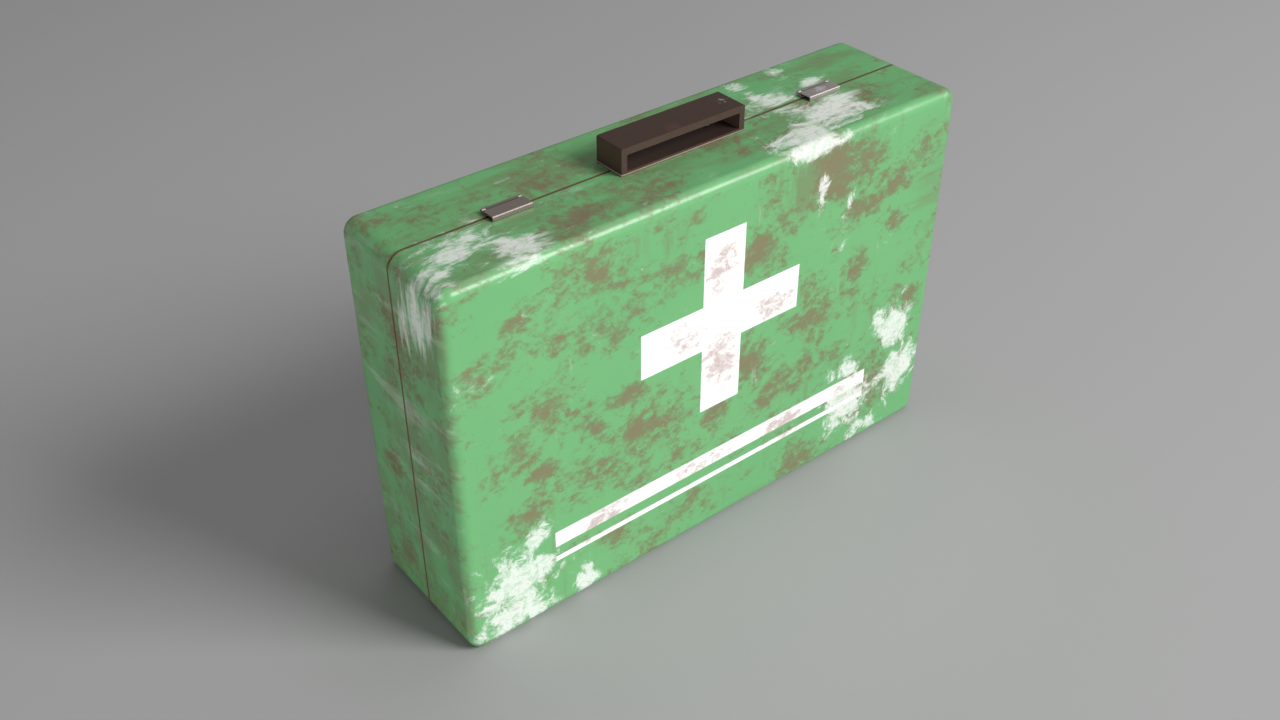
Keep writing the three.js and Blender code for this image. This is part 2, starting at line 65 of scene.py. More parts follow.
BACK_LOW, BACK_HIGH = node_box("back_shell")
LID_LOW, LID_HIGH = node_box("front_shell")
HALF_WIDTH = BACK_HIGH.x
TOP = BACK_HIGH.z
BACK_FACE = BACK_HIGH.y
LID_FACE = LID_LOW.y
LID_EDGE = LID_HIGH.y
BACK_EDGE = BACK_LOW.y
SEAM = (LID_EDGE + BACK_EDGE) / 2

WALL = 1.2 * MM
CORNER_R = 10 * MM  # of the outline, seen from the front
EDGE_R = 7 * MM  # round the front and back faces
EDGE_STEPS = 8
SHARP_ANGLE = 35  # in degrees: edges past this stay sharp on the shells
RIM_WIDTH = 8 * MM
CHANNEL_HALF = 10 * MM
CHANNEL_END = 187 * MM
CHANNEL_TOP = 4.3 * MM
END_RELIEF_HALF = 3.8 * MM

# The marks on the lid
CROSS_X = -2 * MM
CROSS_Z = 168.5 * MM
CROSS_REACH = 65 * MM
CROSS_HALF = 16.3 * MM
STRIPES = ((60 * MM, 6 * MM), (44 * MM, 2 * MM))  # height of the middle, half width
STRIPE_X = 2 * MM
STRIPE_REACH = 137 * MM

# ---------------------------------------------------------------------------------------------
# Camera, floor and lights
# ---------------------------------------------------------------------------------------------

CAMERA_AT = Vector((-0.4809, -0.5685, 0.6518))
CAMERA_AZIMUTH = math.radians(-38.67)
CAMERA_ELEVATION = math.radians(36.19)
LENS_MM = 38.41

# How the soft packets are blown up.
PACK_PRESSURE = 20
PACK_SEAL = 6 * MM  # the crimped ends
SWELL_FRAMES = 20


def make_camera():
    data = bpy.data.cameras.new("camera")
    data.lens = LENS_MM
    data.sensor_width = 36
    data.clip_start = 0.01
    camera = bpy.data.objects.new("camera", data)
    bpy.context.collection.objects.link(camera)
    camera.location = CAMERA_AT
    camera.rotation_euler = (math.pi / 2 - CAMERA_ELEVATION, 0, CAMERA_AZIMUTH)
    bpy.context.scene.camera = camera


def area_light(name, at, target, size, power):
    data = bpy.data.lights.new(name, "AREA")
    data.shape = "RECTANGLE"
    data.size, data.size_y = size
    data.energy = power
    light = bpy.data.objects.new(name, data)
    bpy.context.collection.objects.link(light)
    light.location = at
    light.rotation_euler = (Vector(target) - Vector(at)).to_track_quat("-Z", "Y").to_euler()


def make_stage():
    mesh = bpy.data.meshes.new("floor")
    reach = 8
    corners = [(-reach, -reach, 0), (reach, -reach, 0), (reach, reach, 0), (-reach, reach, 0)]
    mesh.from_pydata(corners, [], [(0, 1, 2, 3)])
    floor = bpy.data.objects.new("floor", mesh)
    bpy.context.collection.objects.link(floor)
    material = bpy.data.materials.new("floor_paint")
    material.use_nodes = True
    shader = material.node_tree.nodes["Principled BSDF"]
    shader.inputs["Base Color"].default_value = (0.37, 0.37, 0.37, 1)
    shader.inputs["Roughness"].default_value = 0.7
    shader.inputs["Specular IOR Level"].default_value = 0.25
    mesh.materials.append(material)


def make_lights():
    world = bpy.data.worlds.new("studio")
    world.use_nodes = True
    world.node_tree.nodes["Background"].inputs["Color"].default_value = (1, 1, 1, 1)
    world.node_tree.nodes["Background"].inputs["Strength"].default_value = 0.14
    bpy.context.scene.world = world
    area_light("key", (1.9, -2.9, 2.7), (0, 0, 0.12), (1.9, 1.9), 182)
    area_light("side", (-1.7, -2.2, 0.22), (0, 0, 0.14), (1.6, 0.4), 47)
    area_light("above", (0.6, 0.2, 3.2), (0, 0, 0.1), (2.4, 2.4), 26)
    bpy.context.scene.view_settings.view_transform = "Standard"


# ---------------------------------------------------------------------------------------------
# Node building
# ---------------------------------------------------------------------------------------------


class Paint:
    """A node material under construction. Its methods return sockets, and take sockets or numbers."""

    def __init__(self, name, roughness=0.5, metallic=0.0, coat=0.0, specular=0.5):
        self.material = bpy.data.materials.new(name)
        self.material.use_nodes = True
        self.tree = self.material.node_tree
        self.shader = self.tree.nodes["Principled BSDF"]
        self.shader.inputs["Roughness"].default_value = roughness
        self.shader.inputs["Metallic"].default_value = metallic
        self.shader.inputs["Coat Weight"].default_value = coat
        self.shader.inputs["Specular IOR Level"].default_value = specular
        self.place = self.tree.nodes.new("ShaderNodeTexCoord").outputs["Object"]
        self.offset = self.vector_math("ADD", self.place, (0, 0, 0)).outputs[0]

    def put(self, socket, value):
        if isinstance(value, bpy.types.NodeSocket):
            self.tree.links.new(value, socket)
        else:
            socket.default_value = value

    def set(self, name, value):
        self.put(self.shader.inputs[name], value)

    def math(self, operation, a, b=0.0, clamp=False):
        node = self.tree.nodes.new("ShaderNodeMath")
        node.operation = operation
        node.use_clamp = clamp
        self.put(node.inputs[0], a)
        self.put(node.inputs[1], b)
        return node.outputs[0]

    def vector_math(self, operation, *values):
        node = self.tree.nodes.new("ShaderNodeVectorMath")
        node.operation = operation
        for socket, value in zip(node.inputs, values):
            self.put(socket, value)
        return node

    def add(self, *terms):
        total = terms[0]
        for term in terms[1:]:
            total = self.math("ADD", total, term)
        return total

    def times(self, *terms):
        total = terms[0]
        for term in terms[1:]:
            total = self.math("MULTIPLY", total, term)
        return total

    def step(self, value, low, high, to_low=0.0, to_high=1.0):
        """Turns smoothly from to_low to to_high as value goes from low to high."""
        node = self.tree.nodes.new("ShaderNodeMapRange")
        node.interpolation_type = "SMOOTHSTEP"
        self.put(node.inputs["Value"], value)
        for name, number in (("From Min", low), ("From Max", high), ("To Min", to_low), ("To Max", to_high)):
            node.inputs[name].default_value = number
        return node.outputs[0]

    def mapped(self, scale=(1, 1, 1), turn=(0, 0, 0)):
        node = self.tree.nodes.new("ShaderNodeMapping")
        self.put(node.inputs["Vector"], self.place)
        node.inputs["Scale"].default_value = scale
        node.inputs["Rotation"].default_value = [math.radians(a) for a in turn]
        return node.outputs[0]

    def noise(self, scale, detail=4.0, roughness=0.55, distortion=0.0, vector=None):
        node = self.tree.nodes.new("ShaderNodeTexNoise")
        self.put(node.inputs["Vector"], vector or self.place)
        node.inputs["Scale"].default_value = scale
        node.inputs["Detail"].default_value = detail
        node.inputs["Roughness"].default_value = roughness
        node.inputs["Distortion"].default_value = distortion
        return node.outputs["Fac"]

    def axes(self):
        node = self.tree.nodes.new("ShaderNodeSeparateXYZ")
        self.put(node.inputs[0], self.place)
        return node.outputs

    def blob(self, centre, radii):
        """1 at the centre of an ellipsoid and 0 at its surface."""
        shrink = [1 / (r * MM) for r in radii]
        shift = [-c * MM * k for c, k in zip(centre, shrink)]
        within = self.vector_math("MULTIPLY_ADD", self.offset, shrink, shift).outputs[0]
        return self.step(self.vector_math("LENGTH", within).outputs["Value"], 0.0, 1.0, 1.0, 0.0)

    def blobs(self, places, spread=1):
        """The strongest of several blobs: (centre, radii, weight), with radii times spread along X and Z."""
        total = 0.0
        for centre, radii, weight in places:
            wide = (radii[0] * spread, radii[1], radii[2] * spread)
            total = self.math("MAXIMUM", total, self.times(self.blob(centre, wide), weight))
        return total

    def mix(self, factor, a, b):
        node = self.tree.nodes.new("ShaderNodeMix")
        node.data_type = "RGBA"
        self.put(node.inputs["Factor"], factor)
        for socket, value in ((node.inputs[6], a), (node.inputs[7], b)):
            if isinstance(value, bpy.types.NodeSocket):
                self.put(socket, value)
            else:
                socket.default_value = (*value, 1)
        return node.outputs[2]

    def bump(self, height, distance, strength=1.0):
        node = self.tree.nodes.new("ShaderNodeBump")
        node.inputs["Distance"].default_value = distance
        node.inputs["Strength"].default_value = strength
        self.put(node.inputs["Height"], height)
        self.put(self.shader.inputs["Normal"], node.outputs[0])


def srgb(r, g, b):
    """A colour given as 0 to 255 on screen, as the shader's linear numbers."""

    def linear(v):
        v /= 255
        return v / 12.92 if v <= 0.04045 else ((v + 0.055) / 1.055) ** 2.4

    return linear(r), linear(g), linear(b)


# ---------------------------------------------------------------------------------------------
# The case's paint
# ---------------------------------------------------------------------------------------------

GREEN = (0.142, 0.390, 0.155)
GREEN_DEEP = (0.130, 0.375, 0.150)
RUST = (0.20, 0.085, 0.06)
OLIVE = (0.165, 0.125, 0.07)
PRIMER = (0.76, 0.80, 0.75)
MARK_WHITE = (0.93, 0.93, 0.92)
MARK_STAIN = (0.40, 0.27, 0.25)

# Places on the case, in mm. Each is (centre, radii, weight).
# Where the paint is scuffed through to the primer:
TOP_SCUFFS = (
    ((-140, -38, 268), (44, 28, 20), 1.15),
    ((-172, -16, 268), (46, 36, 20), 1.05),
    ((-192, -34, 266), (22, 24, 18), 0.9),
    ((-146, 2, 268), (16, 12, 12), 0.7),
    ((72, -44, 268), (54, 26, 18), 1.3),
    ((108, -26, 268), (60, 36, 18), 1.05),
    ((84, 20, 268), (16, 40, 12), 0.9),
    ((88, 8, 268), (46, 26, 14), 0.95),
    ((132, 14, 268), (22, 16, 12), 0.95),
    ((120, 38, 268), (12, 20, 12), 0.7),
)
SIDE_SCUFFS = (
    ((-200, -28, 246), (16, 30, 56), 1.0),
    ((-200, -12, 228), (14, 14, 40), 0.8),
    ((-200, -48, 250), (14, 16, 34), 0.7),
    ((200, -20, 225), (14, 34, 52), 0.9),
    ((200, 24, 70), (14, 36, 50), 0.8),
)
FRONT_SCUFFS = (
    ((-165, -52, 44), (56, 20, 46), 1.15),
    ((-168, -52, 14), (62, 20, 30), 1.1),
    ((-112, -52, 14), (20, 20, 24), 1.0),
    ((-148, -52, 72), (22, 20, 26), 0.9),
    ((150, -52, 104), (22, 20, 24), 1.0),
    ((164, -52, 92), (34, 20, 44), 1.05),
    ((172, -52, 50), (44, 20, 44), 1.1),
    ((118, -52, 74), (30, 20, 22), 0.85),
    ((122, -52, 44), (50, 20, 44), 1.15),
    ((142, -52, 12), (34, 20, 18), 0.95),
    ((78, -52, 232), (12, 20, 34), 0.72),
    ((104, -52, 214), (12, 20, 20), 0.78),
    ((70, -50, 264), (46, 12, 14), 1.15),
)
BACK_SCUFFS = (
    ((-130, 52, 52), (60, 20, 44), 0.95),
    ((130, 52, 222), (56, 20, 36), 0.9),
    ((-182, 52, 245), (30, 20, 34), 1.0),
    ((182, 52, 22), (34, 20, 30), 1.0),
    ((40, 52, 110), (60, 20, 40), 0.6),
)
# Where rust and dirt gather:
DIRT = (
    ((-100, -52, 242), (38, 22, 22), 1.0),
    ((-152, -52, 236), (22, 22, 14), 0.9),
    ((-186, -52, 205), (16, 22, 14), 0.9),
    ((-128, -52, 206), (14, 22, 12), 0.9),
    ((-140, -52, 166), (34, 22, 20), 0.8),
    ((-160, -52, 145), (22, 22, 24), 0.9),
    ((-142, -52, 120), (16, 22, 9), 1.7),
    ((-148, -52, 134), (9, 22, 10), 1.5),
    ((-102, -52, 133), (14, 22, 12), 1.2),
    ((-72, -52, 115), (11, 22, 11), 2.0),
    ((-75, -52, 142), (22, 22, 14), 1.1),
    ((-50, -52, 106), (40, 22, 30), 1.15),
    ((-105, -52, 94), (36, 22, 28), 1.1),
    ((-150, -52, 92), (24, 22, 20), 1.0),
    ((-50, -52, 78), (44, 22, 18), 1.1),
    ((-6, -52, 96), (16, 22, 14), 1.3),
    ((-34, -52, 218), (30, 22, 14), 0.9),
    ((28, -52, 212), (22, 22, 20), 1.3),
    ((26, -52, 126), (20, 22, 28), 1.35),
    ((84, -52, 132), (46, 22, 22), 1.2),
    ((60, -52, 92), (50, 22, 24), 0.9),
    ((40, -52, 84), (14, 22, 14), 1.3),
    ((48, -52, 242), (34, 22, 34), 1.15),
    ((88, -52, 240), (34, 22, 40), 1.35),
    ((122, -52, 246), (22, 22, 20), 1.15),
    ((116, -52, 207), (26, 22, 10), 1.3),
    ((148, -52, 213), (12, 22, 10), 1.3),
    ((150, -52, 184), (16, 22, 14), 1.35),
    ((118, -52, 160), (22, 22, 16), 1.0),
    ((180, -52, 150), (26, 22, 26), 1.0),
    ((178, -52, 112), (18, 22, 16), 1.35),
    ((176, -52, 232), (34, 22, 26), 0.95),
    ((150, -52, 58), (50, 22, 34), 1.0),
    ((-88, -52, 40), (20, 22, 16), 0.95),
    ((-36, -52, 22), (34, 22, 20), 0.85),
    ((76, -52, 18), (34, 22, 18), 1.05),
    ((-80, -30, 268), (70, 30, 14), 0.9),
    ((-80, 14, 268), (60, 30, 14), 0.9),
    ((110, -16, 268), (60, 40, 14), 1.1),
    ((60, -36, 268), (50, 26, 14), 1.0),
    ((-180, 30, 268), (40, 26, 14), 0.8),
    ((-200, -6, 200), (14, 40, 50), 1.1),
    ((-200, -20, 128), (14, 34, 26), 0.95),
    ((-200, 22, 110), (14, 24, 44), 0.9),
    ((-200, 20, 30), (14, 24, 36), 0.9),
    ((200, 0, 140), (14, 60, 120), 1.0),
    ((-60, 52, 180), (120, 22, 70), 1.0),
    ((90, 52, 80), (110, 22, 70), 1.05),
)
DIRT_SPREAD = 1.35  # how much wider than the radii above the dirt's soft edges reach
# Where it lies thinly over a whole region:
DIRT_HAZE = (
    ((-50, -52, 120), (120, 22, 60), 0.55),
    ((70, -52, 130), (110, 22, 60), 0.55),
    ((60, -52, 220), (120, 22, 60), 0.6),
    ((-110, -52, 220), (80, 22, 60), 0.5),
    ((0, 0, 268), (260, 60, 14), 0.45),
)


def cross_mask(p, x, z, on_face):
    """1 inside the cross on the lid's face."""
    edge = 0.35 * MM
    across = p.math("ABSOLUTE", p.math("SUBTRACT", x, CROSS_X))
    along = p.math("ABSOLUTE", p.math("SUBTRACT", z, CROSS_Z))

    def bar(a, b):
        return p.times(
            p.step(a, CROSS_REACH - edge, CROSS_REACH + edge, 1, 0),
            p.step(b, CROSS_HALF - edge, CROSS_HALF + edge, 1, 0),
        )

    return p.times(p.math("MAXIMUM", bar(across, along), bar(along, across)), on_face)


def stripe_mask(p, x, z, on_face):
    """1 inside the two plain stripes under the cross."""
    edge = 0.35 * MM
    within = p.step(
        p.math("ABSOLUTE", p.math("SUBTRACT", x, STRIPE_X)), STRIPE_REACH - edge, STRIPE_REACH + edge, 1, 0
    )
    total = 0.0
    for height, half in STRIPES:
        off = p.math("ABSOLUTE", p.math("SUBTRACT", z, height))
        total = p.math("MAXIMUM", total, p.step(off, half - edge, half + edge, 1, 0))
    return p.times(total, within, on_face)


def make_case_paint():
    p = Paint("case_paint", roughness=0.42, specular=0.5)
    x, y, z = p.axes()
    on_face = p.step(y, LID_FACE + 0.4 * MM, LID_FACE + 1.0 * MM, 1, 0)
    on_top = p.step(z, TOP - 5 * MM, TOP - 1 * MM)
    on_side = p.step(p.math("ABSOLUTE", x), HALF_WIDTH - 5 * MM, HALF_WIDTH - 1 * MM)

    # Dirt and rust: fine mottling that shows where a broad patch lets it.
    slant = p.mapped(scale=(1, 1, 1.35), turn=(0, 36, 0))
    broad = p.noise(30, detail=4, roughness=0.55, distortion=0.3, vector=slant)
    fine = p.noise(140, detail=8, roughness=0.75, distortion=0.3, vector=slant)
    patches = p.math("MAXIMUM", p.blobs(DIRT, DIRT_SPREAD), p.blobs(DIRT_HAZE))
    level = p.add(p.times(broad, 1.3), p.times(fine, 1.8), p.times(patches, 0.32))
    dirt = p.step(level, 1.60, 2.00)
    core = p.step(level, 1.86, 2.16)

    # Streaks that run down the lid from its top edge, and across its right end.
    down = p.noise(70, detail=6, roughness=0.65, vector=p.mapped(scale=(1, 1, 0.14), turn=(0, 8, 0)))
    down_zone = p.blobs((((62, -52, 240), (60, 24, 44), 1.0), ((-60, -52, 245), (80, 24, 34), 0.55)))
    streaks = p.step(p.add(down, p.times(down_zone, 0.26)), 0.58, 0.80)
    across = p.noise(60, detail=5, roughness=0.6, vector=p.mapped(scale=(0.14, 1, 1), turn=(0, -8, 0)))
    across_zone = p.blob((185, -52, 205), (50, 40, 70))
    streaks = p.math("MAXIMUM", streaks, p.step(p.add(across, p.times(across_zone, 0.22)), 0.60, 0.82))
    dirt = p.math("MAXIMUM", dirt, p.times(streaks, 0.75))

    # Scuffs through to the primer, dragged along the face that they're on.
    along_top = p.mapped((0.6, 1.5, 1), (0, 0, -24))
    top_grain = p.noise(62, detail=8, roughness=0.74, distortion=0.5, vector=along_top)
    down_side = p.mapped((1, 1.3, 0.16), (10, 0, 0))
    side_grain = p.noise(75, detail=7, roughness=0.7, distortion=0.2, vector=down_side)
    across_front = p.mapped((1, 1, 0.85), (0, 28, 0))
    front_grain = p.noise(85, detail=9, roughness=0.78, distortion=0.5, vector=across_front)

    def scuff(grain, places, low, high):
        return p.step(p.add(p.times(grain, 1.8), p.times(p.blobs(places), 0.5)), low, high)

    scuffs = scuff(top_grain, TOP_SCUFFS, 1.10, 1.42)
    scuffs = p.math("MAXIMUM", scuffs, scuff(side_grain, SIDE_SCUFFS, 1.14, 1.50))
    for places in (FRONT_SCUFFS, BACK_SCUFFS):
        scuffs = p.math("MAXIMUM", scuffs, scuff(front_grain, places, 1.14, 1.38))

    # Soft pale and rusty smears across the sides and the top.
    smear_grain = p.noise(34, detail=5, roughness=0.62, vector=p.mapped((1, 0.3, 1.8), (-32, 0, 0)))
    side_smears = p.times(p.step(smear_grain, 0.54, 0.72), on_side, 0.30)
    top_grain_soft = p.noise(30, detail=5, roughness=0.65, vector=p.mapped((0.45, 1.5, 1), (0, 0, 24)))
    smears = p.add(side_smears, p.times(p.step(top_grain_soft, 0.58, 0.75), on_top, 0.20))
    haze = p.times(p.step(top_grain_soft, 0.56, 0.40), p.math("MAXIMUM", on_top, on_side), 0.42)

    # The marks on the lid, stained rather than rusted.
    marks = p.math("MAXIMUM", cross_mask(p, x, z, on_face), stripe_mask(p, x, z, on_face))
    stain_zone = p.blobs(
        (
            ((-6, -52, 206), (26, 20, 34), 1.0),
            ((-4, -52, 140), (28, 20, 36), 1.2),
            ((2, -52, 120), (16, 20, 18), 0.9),
            ((42, -52, 162), (36, 20, 16), 1.1),
            ((-34, -52, 167), (32, 20, 26), 0.95),
            ((-96, -52, 56), (40, 20, 24), 1.15),
            ((-20, -52, 58), (44, 20, 20), 0.9),
            ((60, -52, 54), (44, 20, 24), 1.15),
            ((122, -52, 58), (30, 20, 20), 0.9),
        )
    )
    stain = p.step(p.add(p.times(broad, 0.3), p.times(fine, 1.7), p.times(stain_zone, 0.36)), 1.10, 1.52)

    # Rust creeps out of the seam.
    off_seam = p.math("ABSOLUTE", p.math("SUBTRACT", y, SEAM))
    seam_rust = p.step(p.add(off_seam, p.times(fine, 0.9 * MM)), 1.1 * MM, 1.9 * MM, 0.85, 0)

    green = p.mix(p.step(p.noise(9, detail=2), 0.35, 0.7), GREEN, GREEN_DEEP)
    rust = p.mix(core, OLIVE, RUST)
    colour = p.mix(haze, green, OLIVE)
    colour = p.mix(p.times(dirt, 0.72), colour, rust)
    colour = p.mix(smears, colour, PRIMER)
    colour = p.mix(marks, colour, p.mix(p.times(stain, 0.75), MARK_WHITE, MARK_STAIN))
    dirty_primer = p.mix(p.times(p.step(fine, 0.50, 0.68), 0.5), PRIMER, (0.42, 0.36, 0.33))
    colour = p.mix(p.times(scuffs, p.step(fine, 0.36, 0.58, 0.50, 0.92)), colour, dirty_primer)
    colour = p.mix(seam_rust, colour, (0.13, 0.06, 0.04))
    p.set("Base Color", colour)

    p.set("Roughness", p.add(0.26, p.times(dirt, 0.22), p.times(scuffs, 0.28), p.times(fine, 0.10)))
    peel = p.noise(700, detail=2, roughness=0.5)
    p.bump(p.add(p.times(peel, 0.2), p.times(fine, 0.5)), 0.08 * MM, 0.5)
    return p.material


def make_inside_paint():
    """The same green inside the case, where it's clean and matt."""
    p = Paint("inside_paint", roughness=0.5)
    fine = p.noise(120, detail=6, roughness=0.65)
    p.set("Base Color", p.mix(p.step(fine, 0.5, 0.75, 0, 0.5), (0.12, 0.30, 0.14), (0.07, 0.16, 0.08)))
    p.set("Roughness", p.add(0.42, p.times(fine, 0.2)))
    p.bump(p.noise(1200, detail=2), 0.05 * MM, 0.5)
    return p.material


# ---------------------------------------------------------------------------------------------
# Other materials
# ---------------------------------------------------------------------------------------------


def make_dark_metal(name, base, arris_wear_and_highlight, wear_places=()):
    """Browned steel with a little rust, and paler arrises that are partly edge wear and partly a painted
    highlight.
    """
    p = Paint(name, roughness=0.45, metallic=0.55, specular=0.5)
    cloud = p.noise(55, detail=5, roughness=0.6)
    fine = p.noise(420, detail=6, roughness=0.7)
    geometry = p.tree.nodes.new("ShaderNodeNewGeometry")
    arris = p.step(p.add(geometry.outputs["Pointiness"], p.times(fine, 0.05)), 0.535, 0.60)
    rust = p.step(p.add(cloud, p.times(fine, 0.3)), 0.72, 0.92)
    colour = p.mix(p.step(cloud, 0.35, 0.7), base, tuple(c * 0.72 for c in base))
    colour = p.mix(p.times(rust, 0.45), colour, (0.12, 0.045, 0.035))
    # Pale arrises, found from pointiness: partly edge wear, partly a painted highlight along the edges.
    colour = p.mix(p.times(arris, 0.75), colour, arris_wear_and_highlight)
    if wear_places:
        grain = p.noise(240, detail=8, roughness=0.75)
        scuff = p.step(p.add(grain, p.times(p.blobs(wear_places), 0.5)), 0.92, 1.06)
        colour = p.mix(p.times(scuff, 0.85), colour, (0.62, 0.60, 0.58))
    p.set("Base Color", colour)
    p.set("Roughness", p.add(0.36, p.times(fine, 0.18), p.times(rust, 0.25)))
    p.bump(p.add(p.times(fine, 0.6), p.times(cloud, 0.4)), 0.08 * MM, 0.7)
    return p.material


def make_steel(name, tone=0.55, rust=0.4, grain=(1, 40, 40)):
    """Bright steel, brushed along X, with a touch of rust."""
    p = Paint(name, roughness=0.35, metallic=0.95)
    brushed = p.noise(300, detail=4, roughness=0.6, vector=p.mapped(grain))
    cloud = p.noise(120, detail=6, roughness=0.7)
    spots = p.step(cloud, 0.60, 0.74, 0, rust)
    light, dark = (tone, tone, tone * 0.97), (tone * 0.78, tone * 0.77, tone * 0.74)
    bright = p.mix(p.step(brushed, 0.3, 0.7), light, dark)
    p.set("Base Color", p.mix(spots, bright, (0.20, 0.09, 0.045)))
    p.set("Roughness", p.add(0.26, p.times(brushed, 0.16), p.times(spots, 0.35)))
    p.bump(brushed, 0.03 * MM, 0.5)
    return p.material


def make_rubber():
    p = Paint("seal_rubber", roughness=0.8, specular=0.3)
    fine = p.noise(500, detail=4, roughness=0.7)
    dust = p.step(p.noise(60, detail=4), 0.5, 0.75, 0, 0.35)
    p.set("Base Color", p.mix(dust, (0.018, 0.018, 0.019), (0.09, 0.085, 0.08)))
    p.set("Roughness", p.add(0.68, p.times(fine, 0.2)))
    p.bump(fine, 0.05 * MM, 0.6)
    return p.material


def make_plastic(name, colour, roughness, grain=700, mottled=0.08):
    """Moulded plastic with a fine texture and slightly uneven colour."""
    p = Paint(name, roughness=roughness, specular=0.5)
    cloud = p.noise(40, detail=4)
    fine = p.noise(grain, detail=3, roughness=0.6)
    p.set("Base Color", p.mix(p.step(cloud, 0.35, 0.7), colour, tuple(c * (1 - 2 * mottled) for c in colour)))
    p.set("Roughness", p.add(roughness - 0.05, p.times(fine, 0.12)))
    p.bump(fine, 0.04 * MM, 0.5)
    return p.material


def make_weave(name, colour, shade, pitch, turn=(0, 0, 0), fuzz=0.3, relief=0.15):
    """A plain weave: threads over and under, as waves along two directions."""
    p = Paint(name, roughness=0.92, specular=0.2)
    p.shader.inputs["Sheen Weight"].default_value = fuzz
    p.shader.inputs["Sheen Roughness"].default_value = 0.5
    node = p.tree.nodes.new("ShaderNodeSeparateXYZ")
    p.put(node.inputs[0], p.mapped((1, 1, 1), turn))
    k = 2 * math.pi / (pitch * MM)
    wave = [p.math("SINE", p.times(axis, k)) for axis in node.outputs]
    threads = p.add(p.times(wave[0], wave[2]), p.times(wave[1], wave[2]), p.times(wave[0], wave[1]))
    level = p.step(threads, -1.2, 1.2)
    fibre = p.noise(900, detail=4, roughness=0.7)
    lit = p.math("MULTIPLY", level, p.add(0.6, p.times(fibre, 0.6)), clamp=True)
    p.set("Base Color", p.mix(lit, shade, colour))
    p.set("Roughness", p.add(0.82, p.times(fibre, 0.15)))
    p.bump(p.add(level, p.times(fibre, 0.4)), relief * MM, 0.8)
    return p.material


def make_card():
    """Buff card with a printed green band across its middle."""
    p = Paint("box_card", roughness=0.7, specular=0.3)
    z = p.axes()[2]
    fibre = p.noise(420, detail=6, roughness=0.7)
    colour = p.mix(p.step(fibre, 0.35, 0.7), (0.80, 0.74, 0.62), (0.66, 0.59, 0.46))
    low, high = node_box("plaster_box")
    band_low = low.z + 0.28 * (high.z - low.z)
    band_high = low.z + 0.72 * (high.z - low.z)
    edge = 0.4 * MM
    above_low = p.step(z, band_low - edge, band_low + edge)
    band = p.times(above_low, p.step(z, band_high - edge, band_high + edge, 1, 0))
    p.set("Base Color", p.mix(band, colour, p.mix(fibre, (0.10, 0.34, 0.16), (0.14, 0.42, 0.2))))
    p.set("Roughness", p.add(0.55, p.times(fibre, 0.25)))
    p.bump(fibre, 0.06 * MM, 0.5)
    return p.material


def make_film(name, colour, crease, metallic, roughness):
    """Creased plastic or metallised film."""
    p = Paint(name, roughness=roughness, metallic=metallic)
    folds = p.noise(46, detail=6, roughness=0.6, distortion=1.5)
    fine = p.noise(300, detail=4, roughness=0.7)
    p.set("Base Color", p.mix(p.step(folds, 0.35, 0.65), colour, tuple(c * 0.7 for c in colour)))
    p.set("Roughness", p.add(roughness - 0.05, p.times(fine, 0.15)))
    p.bump(p.add(folds, p.times(fine, 0.15)), crease * MM, 1.0)
    return p.material


MATERIALS = {
    "paint": make_case_paint(),
    "inside": make_inside_paint(),
    "handle": make_dark_metal(
        "handle_metal",
        srgb(53, 51, 53),
        srgb(92, 70, 60),
        (((39, 2, 285), (16, 14, 6), 0.95), ((30, -2, 274), (14, 10, 8), 0.8)),
    ),
    # The latches' pale arris colours are partly wear and partly a painted highlight along their edges.
    "latch_left": make_dark_metal("latch_metal_left", srgb(66, 60, 63), srgb(150, 138, 130)),
    "latch_right": make_dark_metal(
        "latch_metal_right", srgb(88, 82, 82), srgb(180, 172, 168), (((122, -2, 271), (15, 9, 6), 1.25),)
    ),
    "steel": make_steel("fitting_steel"),
    "instrument": make_steel("instrument_steel", 0.68, 0.08, (30, 30, 2)),
    "rubber": make_rubber(),
    "tray": make_plastic("tray_plastic", (0.70, 0.70, 0.66), 0.5, 520),
    "bandage": make_weave(
        "bandage_cotton", (0.86, 0.83, 0.76), (0.55, 0.52, 0.46), 1.1, (20, 30, 10), 0.5, 0.25
    ),
    "wrap": make_film("dressing_wrap", (0.80, 0.83, 0.84), 0.5, 0.0, 0.45),
    "card": make_card(),
    "tape": make_weave("tape_cloth", (0.80, 0.62, 0.46), (0.60, 0.44, 0.31), 0.9, (0, 0, 0), 0.2, 0.08),
    "bottle": make_plastic("bottle_plastic", (0.17, 0.05, 0.012), 0.18, 200, 0.05),
    "cap": make_plastic("cap_plastic", (0.85, 0.85, 0.83), 0.35, 500, 0.02),
    "strap": make_weave("strap_webbing", (0.05, 0.17, 0.10), (0.02, 0.08, 0.045), 1.6, (0, 0, 0), 0.3, 0.3),
    "foil": make_film("foil_film", (0.78, 0.79, 0.80), 0.9, 1.0, 0.22),
    "gloves": make_film("glove_film", (0.18, 0.36, 0.62), 0.6, 0.0, 0.35),
}

# ---------------------------------------------------------------------------------------------
# Mesh helpers
# ---------------------------------------------------------------------------------------------


def new_piece(name, bm, materials, body, replaces=(), smooth_angle=35):
    """Turns a bmesh into a piece of the object. Its faces are smooth, and creased past smooth_angle."""
    bmesh.ops.remove_doubles(bm, verts=bm.verts, dist=1e-6)
    bmesh.ops.recalc_face_normals(bm, faces=bm.faces)
    for face in bm.faces:
        face.smooth = True
    for edge in sharper_than(bm, smooth_angle):
        edge.smooth = False
    mesh = bpy.data.meshes.new(name)
    bm.to_mesh(mesh)
    bm.free()
    piece = bpy.data.objects.new(name, mesh)
    bpy.context.collection.objects.link(piece)
    for key in materials:
        mesh.materials.append(MATERIALS[key])
    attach(piece, body)
    if replaces:
        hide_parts(*replaces)
    return piece


def block(bm, low, high):
    """Adds an axis-aligned box to bm and returns its vertices."""
    low, high = Vector(low), Vector(high)
    made = bmesh.ops.create_cube(bm, size=1)["verts"]
    middle = (low + high) / 2
    for vert in made:
        vert.co = middle + Vector(a * b for a, b in zip(vert.co, high - low))
    return made


def sharper_than(bm, angle):
    return [e for e in bm.edges if len(e.link_faces) == 2 and e.calc_face_angle(0) > math.radians(angle)]


